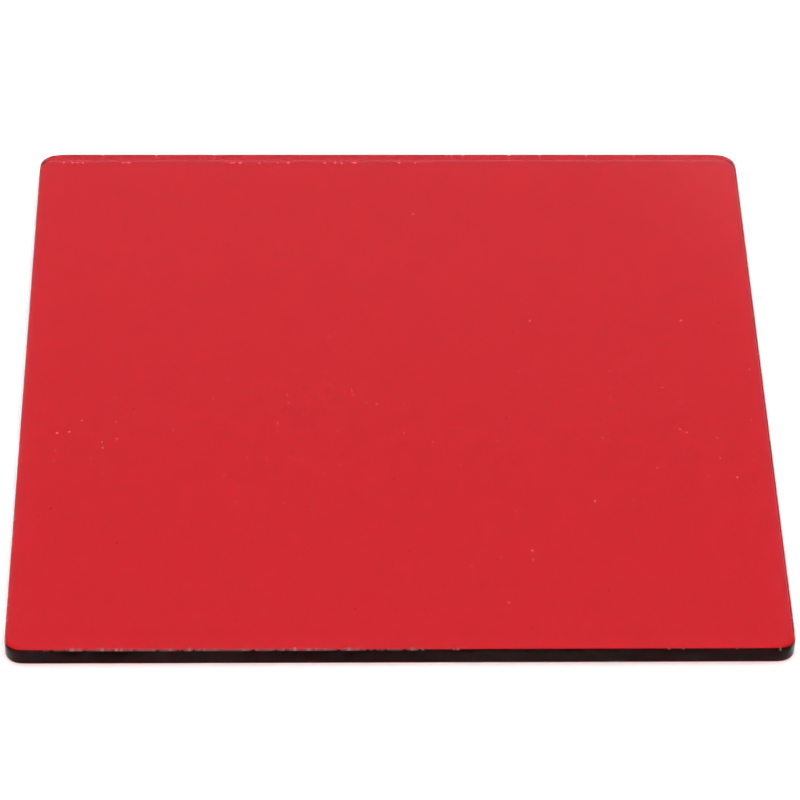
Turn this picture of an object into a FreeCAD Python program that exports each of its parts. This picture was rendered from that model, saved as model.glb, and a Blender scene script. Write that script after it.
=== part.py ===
"""Colour filter plate of a darkroom safelight: one sheet of red acrylic, dyed right through.

The sheet is square with rounded corners, and a fine chamfer breaks the sharp arris round both faces.
Millimetres, +Z up through the thickness, origin at the middle of the face that the plate lies on.
"""

import FreeCAD, Part
import os
import Sketcher

NODE = "filter_plate"
SHEET = "Dimensions"

DRIVING_DIMENSIONS = (
    ("plate_width", 127.0, "side to side, along X: a 5 inch square filter"),
    ("plate_depth", 127.0, "front to back, along Y"),
    ("plate_thickness", 3.0, "standard acrylic sheet"),
    ("corner_radius", 2.7, "corners rounded in plan"),
    ("arris_width", 0.2, "broken edge round the upper and the lower face"),
)


def make_sheet(doc):
    """Write one row for each driving dimension: name, value, meaning."""
    sheet = doc.addObject("Spreadsheet::Sheet", SHEET)
    for row, (alias, value, meaning) in enumerate(DRIVING_DIMENSIONS, start=1):
        sheet.set(f"A{row}", alias)
        sheet.set(f"B{row}", str(value))
        sheet.set(f"C{row}", meaning)
        sheet.setAlias(f"B{row}", alias)
    doc.recompute()
    return sheet


def origin_plane(body, role):
    """The body's own origin plane that has this role."""
    return next(feature for feature in body.Origin.OriginFeatures if feature.Role == role)


def centred_rectangle(body, sheet, name):
    """A sketch on the XY plane: a rectangle centred on the origin, as wide and deep as the plate."""
    sketch = body.newObject("Sketcher::SketchObject", name)
    sketch.AttachmentSupport = [(origin_plane(body, "XY_Plane"), "")]
    sketch.MapMode = "FlatFace"

    half_width = sheet.plate_width / 2
    half_depth = sheet.plate_depth / 2
    corners = [
        FreeCAD.Vector(-half_width, -half_depth, 0),
        FreeCAD.Vector(half_width, -half_depth, 0),
        FreeCAD.Vector(half_width, half_depth, 0),
        FreeCAD.Vector(-half_width, half_depth, 0),
    ]
    front, right, back, left = range(4)
    for side in (front, right, back, left):
        start, end = corners[side], corners[(side + 1) % 4]
        sketch.addGeometry(Part.LineSegment(start, end), False)

    line_start, line_end, origin_point = 1, 2, (-1, 1)
    for side in (front, right, back, left):
        sketch.addConstraint(Sketcher.Constraint("Coincident", side, line_end, (side + 1) % 4, line_start))
    for side in (front, back):
        sketch.addConstraint(Sketcher.Constraint("Horizontal", side))
    for side in (right, left):
        sketch.addConstraint(Sketcher.Constraint("Vertical", side))
    sketch.addConstraint(Sketcher.Constraint("Symmetric", front, line_start, back, line_start, *origin_point))

    sketch.addConstraint(Sketcher.Constraint("DistanceX", front, line_start, front, line_end, 2 * half_width))
    sketch.renameConstraint(sketch.ConstraintCount - 1, "width")
    sketch.setExpression("Constraints.width", f"{SHEET}.plate_width")
    sketch.addConstraint(Sketcher.Constraint("DistanceY", right, line_start, right, line_end, 2 * half_depth))
    sketch.renameConstraint(sketch.ConstraintCount - 1, "depth")
    sketch.setExpression("Constraints.depth", f"{SHEET}.plate_depth")
    return sketch


def upright_edges(shape):
    """Names of the straight edges that run along Z, which are the corners in plan."""
    names = []
    for number, edge in enumerate(shape.Edges, start=1):
        start, end = edge.Vertexes[0].Point, edge.Vertexes[-1].Point
        if abs((end - start).normalize().z) > 0.999:
            names.append(f"Edge{number}")
    return names


def level_faces(shape):
    """Names of the upper and the lower face."""
    names = []
    for number, face in enumerate(shape.Faces, start=1):
        if isinstance(face.Surface, Part.Plane) and abs(face.normalAt(0, 0).z) > 0.999:
            names.append(f"Face{number}")
    return names


def make_filter_plate(doc, sheet):
    """Pad the outline up to the sheet's thickness, round its corners, then break its arrises."""
    body = doc.addObject("PartDesign::Body", "FilterPlate")
    body.Label = NODE
    outline = centred_rectangle(body, sheet, "Outline")

    slab = body.newObject("PartDesign::Pad", "Slab")
    slab.Profile = outline
    slab.setExpression("Length", f"{SHEET}.plate_thickness")
    doc.recompute()

    corners = body.newObject("PartDesign::Fillet", "RoundedCorners")
    corners.Base = (slab, upright_edges(slab.Shape))
    corners.setExpression("Radius", f"{SHEET}.corner_radius")
    doc.recompute()

    arrises = body.newObject("PartDesign::Chamfer", "BrokenArrises")
    arrises.Base = (corners, level_faces(corners.Shape))
    arrises.setExpression("Size", f"{SHEET}.arris_width")
    doc.recompute()

    body.Tip = arrises
    body.Placement = FreeCAD.Placement(FreeCAD.Vector(0, 0, 0), FreeCAD.Rotation())
    return body


def check(doc, nodes):
    """Stop if an object failed to recompute, or if a node isn't one valid solid."""
    for item in doc.Objects:
        if "Invalid" in item.State or "Error" in item.State:
            raise RuntimeError(f"{item.Label} failed to recompute: {item.State}")
    for node in nodes:
        if node.Shape.isNull() or not node.Shape.isValid() or len(node.Shape.Solids) != 1:
            raise RuntimeError(f"{node.Label} isn't one valid solid")


def main():
    doc = FreeCAD.newDocument("SafelightFilter")
    sheet = make_sheet(doc)
    nodes = [make_filter_plate(doc, sheet)]
    doc.recompute()
    check(doc, nodes)

    os.makedirs("parts", exist_ok=True)
    for node in nodes:
        node.Shape.exportStep(f"parts/{node.Label}.step")
        box = node.Shape.BoundBox
        print(f"{node.Label}: {box.XLength:.3f} x {box.YLength:.3f} x {box.ZLength:.3f} mm, "
              f"lowest Z {box.ZMin:.3f}, volume {node.Shape.Volume:.1f} mm3")


main()
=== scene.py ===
"""Looks of the darkroom safelight's filter plate: a square sheet of red acrylic, lying on white paper.

The sheet is one closed mesh that stands for the CAD plate. Its arrises are rounded by a hair, and nicked
by fine chips, most of them along the left half of the front. A few shallow dents in its lower face catch
the light along the rear edge. Its colour comes from dye all through the plastic, so it deepens with the
length of the light's path. Metres, in the frame of the CAD model.
"""

import math
import random

import bmesh
import bpy
from mathutils import Matrix, Vector, noise


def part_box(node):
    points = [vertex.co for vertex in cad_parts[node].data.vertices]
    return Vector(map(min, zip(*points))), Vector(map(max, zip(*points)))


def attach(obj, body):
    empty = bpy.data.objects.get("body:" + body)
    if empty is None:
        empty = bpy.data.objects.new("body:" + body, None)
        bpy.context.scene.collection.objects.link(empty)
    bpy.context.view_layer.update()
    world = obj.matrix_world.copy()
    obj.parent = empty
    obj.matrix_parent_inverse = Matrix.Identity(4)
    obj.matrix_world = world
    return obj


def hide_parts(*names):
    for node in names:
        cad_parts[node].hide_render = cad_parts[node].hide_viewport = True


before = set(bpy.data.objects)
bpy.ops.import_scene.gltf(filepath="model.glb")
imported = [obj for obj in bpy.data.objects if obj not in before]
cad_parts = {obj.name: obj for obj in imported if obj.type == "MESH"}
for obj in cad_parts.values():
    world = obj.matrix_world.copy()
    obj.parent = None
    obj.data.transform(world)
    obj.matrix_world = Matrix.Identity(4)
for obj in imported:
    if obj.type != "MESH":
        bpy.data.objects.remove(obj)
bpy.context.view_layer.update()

MM = 0.001
NODE = "filter_plate"

LOW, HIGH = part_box(NODE)
WIDTH = HIGH.x - LOW.x
DEPTH = HIGH.y - LOW.y
THICKNESS = HIGH.z - LOW.z
CORNER_RADIUS = 2.7 * MM
GAP = 0.07 * MM                       # between the plate and the paper, as on high spots and grit

RIGHT_ANGLE = math.radians(90)


# ---------------------------------------------------------------- camera

def make_camera():
    """A long lens, looking down at the plate from the front and a touch from the left."""
    azimuth, elevation, roll = math.radians(-1.8186), math.radians(41.967), math.radians(1.1327)
    aim = Vector((0.0080 * WIDTH, -0.0038 * WIDTH, LOW.z))
    distance = 5.5155 * WIDTH
    back = Vector((math.sin(azimuth) * math.cos(elevation),
                   -math.cos(azimuth) * math.cos(elevation),
                   math.sin(elevation)))
    lens = bpy.data.cameras.new("camera")
    lens.sensor_width = 36.0
    lens.lens = 183.3
    lens.clip_start, lens.clip_end = 0.01, 20.0
    camera = bpy.data.objects.new("camera", lens)
    level = (-back).to_track_quat("-Z", "Y").to_matrix()
    camera.matrix_world = (Matrix.Translation(aim + back * distance)
                           @ (level @ Matrix.Rotation(roll, 3, "Z")).to_4x4())
    bpy.context.scene.collection.objects.link(camera)
    bpy.context.scene.camera = camera


# ---------------------------------------------------------------- plate: outline

SIDE_STEPS = 896                      # points along each side
CORNER_STEPS = 32                     # points along each corner round
EASE_REACH = 1.5                      # in corner radii: how far a corner's easing reaches


def smooth(value, low, high):
    """0 below low, 1 above high, and an easy slope between them."""
    t = min(1.0, max(0.0, (value - low) / (high - low)))
    return t * t * (3.0 - 2.0 * t)


def corner_centres():
    """Centres of the four corner rounds, anticlockwise from the front right."""
    half_x, half_y = WIDTH / 2 - CORNER_RADIUS, DEPTH / 2 - CORNER_RADIUS
    middle = ((LOW + HIGH) / 2).xy
    return [middle + Vector(corner) for corner in
            ((half_x, -half_y), (half_x, half_y), (-half_x, half_y), (-half_x, -half_y))]


def outline():
    """Points round the plate at its full size, anticlockwise, each with its outward direction."""
    points = []
    centres = corner_centres()
    for quarter, centre in enumerate(centres):
        start = math.radians(-90 + 90 * quarter)
        for step in range(CORNER_STEPS):
            angle = start + RIGHT_ANGLE * step / CORNER_STEPS
            out = Vector((math.cos(angle), math.sin(angle)))
            points.append((centre + out * CORNER_RADIUS, out))
        out = Vector((math.cos(start + RIGHT_ANGLE), math.sin(start + RIGHT_ANGLE)))
        following = centres[(quarter + 1) % 4]
        for step in range(SIDE_STEPS):
            points.append((centre.lerp(following, step / SIDE_STEPS) + out * CORNER_RADIUS, out))
    return points


def cornerness(point):
    """0 along a side, rising to 1 at the middle of a corner round."""
    most = 0.0
    for centre in corner_centres():
        middle = centre + (centre - (LOW + HIGH).xy / 2).normalized() * CORNER_RADIUS
        most = max(most, 1.0 - smooth((point - middle).length, 0.0, CORNER_RADIUS * EASE_REACH))
    return most


# ---------------------------------------------------------------- plate: wear

CHIP_SKEW = 2.2                       # the higher, the more of the chips are small
CHIP_HALF_LENGTH = (0.09, 0.22)       # mm: of the smallest chip, and what the largest has on top
CHIP_DEPTH = (0.03, 0.15)             # mm: likewise
CHIP_GRAIN = 0.22 * MM                # size of the ripples in a chip's depth
CHIP_RIPPLE = 0.35                    # how strong they are
SCUFF_GRAIN = 0.35 * MM
SCUFF_START = (0.00, 0.11)            # fractions of the width over which the scuff sets in
SCUFF_END = (0.42, 0.62)              # and over which it fades out
SCUFF_LEVEL = (0.6, 0.9)              # its strength where the grain is even, and how much the grain sways it
DENT_RADIUS = (0.32, 0.48)            # mm
DENT_INSET = (0.86, 1.06)             # mm, from the rear edge
DENT_SLOPE = 0.38


def spot(side, across):
    """A point on one side of the outline, at a fraction of its length from the left or from the front."""
    x, y = LOW.x + across * WIDTH, LOW.y + across * DEPTH
    return {"front": Vector((x, LOW.y)), "rear": Vector((x, HIGH.y)),
            "left": Vector((LOW.x, y)), "right": Vector((HIGH.x, y))}[side]


def scatter_chips(draw, side, start, end, count, largest):
    """Chips at random along a stretch of one side: each a centre, half its length, and its depth."""
    chips = []
    for _ in range(count):
        centre = spot(side, draw.uniform(start, end))
        size = draw.random() ** CHIP_SKEW
        half = (CHIP_HALF_LENGTH[0] + CHIP_HALF_LENGTH[1] * size * largest) * MM
        reach = (CHIP_DEPTH[0] + CHIP_DEPTH[1] * size * largest) * MM
        chips.append((centre, half, reach))
    return chips


def scatter_dents(draw, start, end, count):
    """Dents at random in the lower face, just inside part of the rear edge: each a centre and a radius."""
    dents = []
    for _ in range(count):
        radius = draw.uniform(*DENT_RADIUS) * MM
        inset = draw.uniform(*DENT_INSET) * MM
        dents.append((spot("rear", draw.uniform(start, end)) - Vector((0.0, inset)), radius))
    return dents


def damage():
    """The chips in the upper arris, those in the lower, and the dents, all from one seeded draw."""
    draw = random.Random(41)
    upper = (scatter_chips(draw, "front", 0.07, 0.50, 50, 1.0)
             + scatter_chips(draw, "front", 0.50, 0.62, 5, 0.9)
             + scatter_chips(draw, "front", 0.62, 0.99, 4, 0.3)
             + scatter_chips(draw, "rear", 0.02, 0.98, 12, 0.5)
             + scatter_chips(draw, "left", 0.03, 0.97, 12, 0.4)
             + scatter_chips(draw, "right", 0.03, 0.97, 10, 0.4))
    lower = (scatter_chips(draw, "front", 0.05, 0.95, 8, 0.4)
             + scatter_chips(draw, "left", 0.03, 0.97, 8, 0.5)
             + scatter_chips(draw, "right", 0.03, 0.97, 8, 0.5))
    dents = (scatter_dents(draw, 0.02, 0.15, 6)
             + scatter_dents(draw, 0.27, 0.46, 12)
             + scatter_dents(draw, 0.50, 0.95, 2))
    return upper, lower, dents


def bites(points, chips, seed):
    """How much deeper than the plain arris the chips reach, at each point of the outline."""
    depths = []
    for point, _ in points:
        depth = 0.0
        for centre, half, reach in chips:
            away = (point - centre).length / half
            if away < 1.0:
                depth = max(depth, reach * (1.0 - away ** 2) ** 0.5)
        ripple = noise.noise(Vector((point.x, point.y, seed)) / CHIP_GRAIN)
        depths.append(depth * (1.0 + CHIP_RIPPLE * ripple))
    return depths


def scuffs(points):
    """How scuffed the upper arris is, 0 to 1: worn along the left half of the front, clean elsewhere."""
    values = []
    for point, out in points:
        front = max(0.0, -out.y) ** 4
        across = (point.x - LOW.x) / WIDTH
        worn = smooth(across, *SCUFF_START) * (1.0 - smooth(across, *SCUFF_END))
        grain = noise.noise(Vector((point.x, point.y, 7.0 * MM)) / SCUFF_GRAIN)
        level = front * worn * (SCUFF_LEVEL[0] + SCUFF_LEVEL[1] * grain)
        values.append(min(1.0, max(0.0, level)))
    return values


def dent_depth(place, dents):
    """How far a place on the lower face is pushed in, by the deepest of the cone-shaped dents."""
    return max([0.0] + [DENT_SLOPE * (radius - (place - centre).length) for centre, radius in dents])


# ---------------------------------------------------------------- plate: mesh

ARRIS_STEPS = 5                       # facets across each round arris
GRID_STEP = 16                        # points of a side to each cell of a face's grid
DENT_RINGS = 10                       # rings of the lower face that can hold the dents
DENT_RING_STEP = 0.15 * MM
WALL_LEVELS = (DENT_RINGS + ARRIS_STEPS, DENT_RINGS + ARRIS_STEPS + 1)
WALL_STRIP = 0.12 * MM
FLAT_BREAK = 0.04 * MM                # a chip deeper than this breaks flat instead of round
ROUGH_BREAK = 0.06 * MM               # and one deeper than this is rough all over
EDGE_ROUGH = 0.2
CHIP_ROUGH = 0.7

# An arris: its width, what it gains at the corners, how far a chip's depth reaches across the face and
# along the wall, its face, the way into the plate, how pale its chips are, and how strong its scuff is.
UPPER = {"width": 0.2 * MM, "ease": 0.60 * MM, "flake": (2.4, 0.45), "face": HIGH.z, "inward": -1.0,
         "white": 1.0, "scuff": 0.45}
LOWER = {"width": 0.08 * MM, "ease": 0.15 * MM, "flake": (3.5, 0.1), "face": LOW.z, "inward": 1.0,
         "white": 0.3, "scuff": 0.0}


def arris_profile(turn, size, bite, flake):
    """Inset and drop of a point on the arris: a quarter round, or a flatter break where a chip is gone."""
    straight = min(1.0, bite / FLAT_BREAK)
    curved = 1.0 - straight
    share = turn / RIGHT_ANGLE
    inset = (size + flake[0] * bite) * (1.0 - math.sin(turn) * curved - share * straight)
    drop = (size + flake[1] * bite) * (curved - math.cos(turn) * curved + share * straight)
    return inset, drop


def arris_ring(bm, points, marks, arris, turn):
    """A ring at one turn of an arris, from 0 on its face to a right angle on the wall.

    marks holds the cornerness, the chip's depth and the scuff at each point. The ring comes with its
    roughness and its paleness, point by point.
    """
    ring, finish, paleness = [], [], []
    for (point, out), (corner, bite, scuffed) in zip(points, marks):
        inset, drop = arris_profile(turn, arris["width"] + arris["ease"] * corner, bite, arris["flake"])
        place = point - out * inset
        ring.append(bm.verts.new((place.x, place.y, arris["face"] + arris["inward"] * drop)))
        broken = min(1.0, bite / ROUGH_BREAK)
        scuff = arris["scuff"] * scuffed
        finish.append(EDGE_ROUGH + (CHIP_ROUGH - EDGE_ROUGH) * max(broken, scuff))
        paleness.append(max(arris["white"] * broken, scuff))
    return ring, finish, paleness


def dented_ring(bm, points, inset, dents):
    """A ring of the polished lower face, pushed in where there is a dent."""
    ring = []
    for point, out in points:
        place = point - out * inset
        ring.append(bm.verts.new((place.x, place.y, LOW.z + dent_depth(place, dents))))
    polished = [0.0] * len(points)
    return ring, polished, polished


def make_rings(bm):
    """The rings from the lower face out over the lower arris, up the wall, and over the upper arris."""
    points = outline()
    upper_chips, lower_chips, dents = damage()
    corners = [cornerness(point) for point, _ in points]
    scuffed = scuffs(points)
    upper_marks = list(zip(corners, bites(points, upper_chips, 1.0 * MM), scuffed))
    lower_marks = list(zip(corners, bites(points, lower_chips, 2.0 * MM), scuffed))
    turns = [RIGHT_ANGLE * step / ARRIS_STEPS for step in range(ARRIS_STEPS + 1)]

    rings = [dented_ring(bm, points, 2.0 * LOWER["width"] + step * DENT_RING_STEP, dents)
             for step in range(DENT_RINGS, 0, -1)]
    rings += [arris_ring(bm, points, lower_marks, LOWER, turn) for turn in turns]
    # One more ring, a hair up the wall, keeps the shading of the lower chips off the rest of the wall.
    strip = dict(LOWER, width=LOWER["width"] + WALL_STRIP)
    rings.append(arris_ring(bm, points, lower_marks, strip, turns[-1]))
    rings += [arris_ring(bm, points, upper_marks, UPPER, turn) for turn in reversed(turns)]
    return rings


def join_rings(bm, rings):
    """Faces between the rings. Each corner of a face takes its ring's roughness and paleness there."""
    finish_layer = bm.loops.layers.float.new("finish")
    wear_layer = bm.loops.layers.float.new("wear")
    count = len(rings[0][0])
    for level in range(len(rings) - 1):
        below, above = rings[level], rings[level + 1]
        on_wall = level in WALL_LEVELS
        for i in range(count):
            j = (i + 1) % count
            corners = ((below, i), (below, j), (above, j), (above, i))
            face = bm.faces.new([ring[k] for (ring, _, _), k in corners])
            face.smooth = level >= DENT_RINGS
            for loop, ((_, finish, paleness), k) in zip(face.loops, corners):
                loop[finish_layer] = EDGE_ROUGH if on_wall else finish[k]
                loop[wear_layer] = 0.0 if on_wall else paleness[k]


def add_cap(bm, ring, height, upward):
    """A flat face: a square grid between the centres of the corner rounds, and a border out to the ring."""
    cells = SIDE_STEPS // GRID_STEP
    right_front, right_rear, left_rear, left_front = corner_centres()
    grid = []
    for i in range(cells + 1):
        front = left_front.lerp(right_front, i / cells)
        rear = left_rear.lerp(right_rear, i / cells)
        grid.append([bm.verts.new((*front.lerp(rear, j / cells), height)) for j in range(cells + 1)])
    faces = [(grid[i][j], grid[i + 1][j], grid[i + 1][j + 1], grid[i][j + 1])
             for i in range(cells) for j in range(cells)]
    border = ([grid[cells][j] for j in range(cells)] + [grid[i][cells] for i in range(cells, 0, -1)]
              + [grid[0][j] for j in range(cells, 0, -1)] + [grid[i][0] for i in range(cells)])
    for quarter in range(4):
        start = quarter * (CORNER_STEPS + SIDE_STEPS)
        faces.append([border[quarter * cells]] + ring[start:start + CORNER_STEPS + 1])
        for cell in range(cells):
            first = start + CORNER_STEPS + cell * GRID_STEP
            outer = [ring[k % len(ring)] for k in range(first, first + GRID_STEP + 1)]
            inner = [border[(quarter * cells + cell + 1) % len(border)], border[quarter * cells + cell]]
            faces.append(outer + inner)
    for face in faces:
        bm.faces.new(face if upward else list(reversed(face)))


def plate_mesh():
    """The whole plate as one closed mesh."""
    bm = bmesh.new()
    rings = make_rings(bm)
    join_rings(bm, rings)
    add_cap(bm, rings[0][0], LOW.z, False)
    add_cap(bm, rings[-1][0], HIGH.z, True)
    mesh = bpy.data.meshes.new("red_filter_plate")
    bm.to_mesh(mesh)
    bm.free()
    return mesh


# ---------------------------------------------------------------- plate: material

ACRYLIC_IOR = 1.49
REFLECTION_TINT = 0.02                # next to no reflection when seen straight on, as in the photograph
DYE = (0.945, 0.114, 0.246)
DYE_DENSITY = 720.0
FACE_ROUGH = 0.03
CLEAR = 0.97                          # base colour of the clean plastic
WEAR_VEIL = 0.10                      # how much of the light a chip or a scuff scatters
DUST_VEIL = 0.15                      # how much a pale speck does
DUST_BRIGHTEN = 8.0                   # how quickly a pale speck's base colour goes to white
GRIT_SHADE = 0.5                      # how much a dark speck takes from the base colour
SPECK_CELL = 2.2 * MM                 # one speck to each cell of about this width
SPECK_RADIUS = 0.25 * MM
SPECK_EDGE = 1.6                      # above 1, a speck is flat in the middle
SPECK_FAINTNESS = 0.005               # the smaller, the fainter most specks are
DARK_SHARE = 0.4                      # of the specks


def math_node(tree, operation, first, second, clamp=True):
    """A Math node's output. Each of the two values is a number or another node's output."""
    node = tree.nodes.new("ShaderNodeMath")
    node.operation = operation
    node.use_clamp = clamp
    for socket, value in zip(node.inputs, (first, second)):
        if isinstance(value, (int, float)):
            socket.default_value = value
        else:
            tree.links.new(value, socket)
    return node.outputs[0]


def attribute_node(tree, name):
    """The output of one of the mesh's own layers."""
    node = tree.nodes.new("ShaderNodeAttribute")
    node.attribute_name = name
    return node.outputs["Fac"]


def upper_face(tree, place, finish):
    """1 on the polished upper face, and 0 on the arrises, the walls and the lower face."""
    height = tree.nodes.new("ShaderNodeSeparateXYZ")
    tree.links.new(place, height.inputs[0])
    polished = math_node(tree, "LESS_THAN", finish, FACE_ROUGH)
    high = math_node(tree, "GREATER_THAN", height.outputs["Z"], LOW.z + THICKNESS / 2)
    return math_node(tree, "MULTIPLY", polished, high)


def specks(tree, finish):
    """Dust and grit on the upper face: a round speck to a cell, most too faint to see. Pale, then dark."""
    place = tree.nodes.new("ShaderNodeTexCoord").outputs["Object"]
    cells = tree.nodes.new("ShaderNodeTexVoronoi")
    cells.voronoi_dimensions = "2D"
    cells.inputs["Scale"].default_value = 1.0 / SPECK_CELL
    tree.links.new(place, cells.inputs["Vector"])
    chance = tree.nodes.new("ShaderNodeSeparateColor")
    tree.links.new(cells.outputs["Color"], chance.inputs[0])

    half_red = math_node(tree, "MULTIPLY", chance.outputs["Red"], 0.5)
    share = math_node(tree, "ADD", 0.5, half_red)
    size = math_node(tree, "MULTIPLY", share, SPECK_RADIUS / SPECK_CELL)
    away = math_node(tree, "DIVIDE", cells.outputs["Distance"], size)
    near = math_node(tree, "SUBTRACT", 1.0, away)
    round_speck = math_node(tree, "MULTIPLY", near, SPECK_EDGE)
    placed = math_node(tree, "MULTIPLY", round_speck, upper_face(tree, place, finish))
    strength = math_node(tree, "LOGARITHM", chance.outputs["Blue"], SPECK_FAINTNESS)
    speck = math_node(tree, "MULTIPLY", placed, strength)
    is_pale = math_node(tree, "GREATER_THAN", chance.outputs["Green"], DARK_SHARE)
    pale = math_node(tree, "MULTIPLY", speck, is_pale)
    dark = math_node(tree, "SUBTRACT", speck, pale)
    return pale, dark


def red_acrylic():
    """Clear plastic, dyed red all through, with polished faces, dull edges, rough pale chips, and dust."""
    material = bpy.data.materials.new("red_acrylic")
    material.use_nodes = True
    tree = material.node_tree
    shader = tree.nodes["Principled BSDF"]
    shader.inputs["IOR"].default_value = ACRYLIC_IOR
    shader.inputs["Specular Tint"].default_value = (REFLECTION_TINT, REFLECTION_TINT, REFLECTION_TINT, 1.0)
    dye = tree.nodes.new("ShaderNodeVolumeAbsorption")
    dye.inputs["Color"].default_value = (*DYE, 1.0)
    dye.inputs["Density"].default_value = DYE_DENSITY
    tree.links.new(dye.outputs["Volume"], tree.nodes["Material Output"].inputs["Volume"])

    finish, wear = attribute_node(tree, "finish"), attribute_node(tree, "wear")
    pale, dark = specks(tree, finish)
    tree.links.new(math_node(tree, "MAXIMUM", finish, FACE_ROUGH), shader.inputs["Roughness"])

    dust_veil = math_node(tree, "MULTIPLY", pale, DUST_VEIL)
    wear_veil = math_node(tree, "MULTIPLY", wear, WEAR_VEIL)
    veil = math_node(tree, "ADD", dust_veil, wear_veil)
    tree.links.new(math_node(tree, "SUBTRACT", 1.0, veil), shader.inputs["Transmission Weight"])

    full = math_node(tree, "MULTIPLY", pale, DUST_BRIGHTEN)
    bright = math_node(tree, "ADD", CLEAR, math_node(tree, "MULTIPLY", full, 1.0 - CLEAR))
    shade = math_node(tree, "SUBTRACT", bright, math_node(tree, "MULTIPLY", dark, GRIT_SHADE))
    grey = tree.nodes.new("ShaderNodeCombineColor")
    for channel in grey.inputs:
        tree.links.new(shade, channel)
    tree.links.new(grey.outputs[0], shader.inputs["Base Color"])
    return material


def make_plate():
    """The plate, in place of its CAD node."""
    plate = bpy.data.objects.new("red_filter_plate", plate_mesh())
    bpy.context.scene.collection.objects.link(plate)
    plate.data.materials.append(red_acrylic())
    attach(plate, "root")
    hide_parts(NODE)


# ---------------------------------------------------------------- stage and light

FLOOR_REACH = 4.0
PAPER = (0.85, 0.85, 0.85, 1.0)
PAPER_SCATTER = (2.5, 0.85, 0.85)     # how far light creeps inside the paper, red further than the rest
PAPER_SCATTER_SCALE = 1.4 * MM
SKY = 1.15                            # strength of the even sky
OVERHEAD = (0.0, 90.0, 48.0, 1.1)     # azimuth, elevation and spread in degrees, and strength
BACK_RIGHT = (20.0, 26.0, 18.0, 2.4)
GLOW_CORE = 0.65                      # the share of a glow's spread that is at full strength


def make_floor():
    """A wide sheet of white paper, which lets the light creep a little way inside it."""
    mesh = bpy.data.meshes.new("floor")
    corners = [(-FLOOR_REACH, -FLOOR_REACH), (FLOOR_REACH, -FLOOR_REACH),
               (FLOOR_REACH, FLOOR_REACH), (-FLOOR_REACH, FLOOR_REACH)]
    mesh.from_pydata([(x, y, LOW.z - GAP) for x, y in corners], [], [(0, 1, 2, 3)])
    floor = bpy.data.objects.new("floor", mesh)
    bpy.context.scene.collection.objects.link(floor)
    paper = bpy.data.materials.new("white_paper")
    paper.use_nodes = True
    shader = paper.node_tree.nodes["Principled BSDF"]
    shader.inputs["Base Color"].default_value = PAPER
    shader.inputs["Roughness"].default_value = 0.9
    shader.inputs["Specular IOR Level"].default_value = 0.0
    shader.subsurface_method = "BURLEY"
    shader.inputs["Subsurface Weight"].default_value = 1.0
    shader.inputs["Subsurface Radius"].default_value = PAPER_SCATTER
    shader.inputs["Subsurface Scale"].default_value = PAPER_SCATTER_SCALE
    mesh.materials.append(paper)


def glow(tree, direction, azimuth, elevation, spread, strength):
    """A soft round light on the sky: azimuth from +Y towards +X, and spread, in degrees."""
    turn, height = math.radians(azimuth), math.radians(elevation)
    facing = tree.nodes.new("ShaderNodeVectorMath")
    facing.operation = "DOT_PRODUCT"
    tree.links.new(direction, facing.inputs[0])
    facing.inputs[1].default_value = (math.sin(turn) * math.cos(height),
                                      math.cos(turn) * math.cos(height), math.sin(height))
    ramp = tree.nodes.new("ShaderNodeMapRange")
    ramp.interpolation_type = "SMOOTHSTEP"
    ramp.inputs["From Min"].default_value = math.cos(math.radians(spread))
    ramp.inputs["From Max"].default_value = math.cos(math.radians(spread * GLOW_CORE))
    ramp.inputs["To Max"].default_value = strength
    tree.links.new(facing.outputs["Value"], ramp.inputs["Value"])
    return ramp.outputs["Result"]


def make_light():
    """A pale room with a large soft light overhead, and a small one low at the back right."""
    world = bpy.data.worlds.new("studio")
    bpy.context.scene.world = world
    world.use_nodes = True
    tree = world.node_tree
    background = tree.nodes["Background"]
    background.inputs["Color"].default_value = (1, 1, 1, 1)
    direction = tree.nodes.new("ShaderNodeTexCoord").outputs["Generated"]
    total = SKY
    for light in (OVERHEAD, BACK_RIGHT):
        total = math_node(tree, "ADD", glow(tree, direction, *light), total, clamp=False)
    tree.links.new(total, background.inputs["Strength"])


bpy.context.scene.view_settings.view_transform = "Standard"
make_camera()
make_plate()
make_floor()
make_light()
